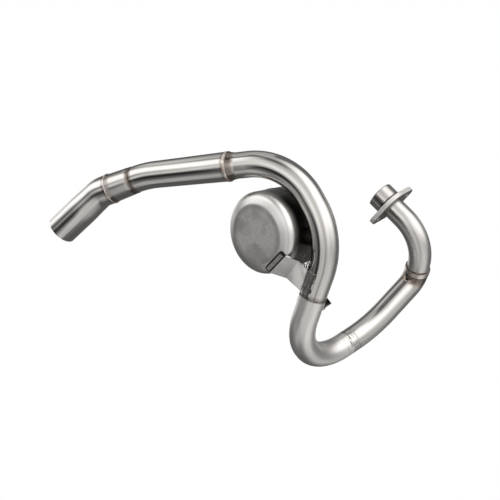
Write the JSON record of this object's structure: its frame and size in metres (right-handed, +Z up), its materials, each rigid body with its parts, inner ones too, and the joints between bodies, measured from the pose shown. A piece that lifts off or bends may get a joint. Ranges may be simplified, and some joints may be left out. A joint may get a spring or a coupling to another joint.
{
  "type": "motorcycle exhaust header",
  "caption": "Coiled stainless exhaust header for a single-cylinder motorcycle, with a loose port flange, welded bends, a drum-shaped resonance canister and a slip-fit outlet socket.",
  "frame": {"origin": "centre of the port face, where the ferrule seats in the cylinder head", "axes": "+X forward, +Z up; the pipe leaves the port forward, down and a little to the side and ends to the rear at -X"},
  "size_m": [0.6317, 0.2687, 0.3516],
  "materials": {
    "stainless_tube": "brushed and lightly polished along the tube",
    "turned_stainless": "bright turned",
    "flange_plate": "machined edge",
    "canister_shell": "satin bevel, grained disc",
    "bracket_sheet": "mill-finished sheet",
    "weld_bead": "rippled weld with a brown heat tint"
  },
  "bodies": {
    "header": {"port_ferrule": "turned_stainless", "first_bend": "stainless_tube", "step_collar": "turned_stainless", "collar_weld": "weld_bead", "down_pipe": "stainless_tube", "seam_weld": "weld_bead", "u_bend": "stainless_tube", "joint_sleeve": "stainless_tube", "joint_weld": "weld_bead", "upper_bend": "stainless_tube", "reducer_cone": "stainless_tube", "mid_weld": "weld_bead", "mid_pipe": "stainless_tube", "cone_weld": "weld_bead", "expansion_cone": "stainless_tube", "tail_weld": "weld_bead", "tail_pipe": "stainless_tube", "canister_front_cup": "canister_shell", "canister_rear_cup": "canister_shell", "canister_seam_weld": "weld_bead", "canister_neck": "stainless_tube", "canister_bracket": "bracket_sheet", "bracket_cap_weld": "bracket_sheet", "bracket_pipe_weld": "weld_bead", "side_lug": "bracket_sheet", "lug_weld": "weld_bead"},
    "flange": {"port_flange": "flange_plate"}
  },
  "joints": [
    {"name": "flange_swivel", "type": "hinge", "parent": "header", "child": "flange", "pos_m": [0.02075, -0.0034, -0.02026], "axis": [0.7107, -0.1165, -0.6938], "continuous": true}
  ]
}
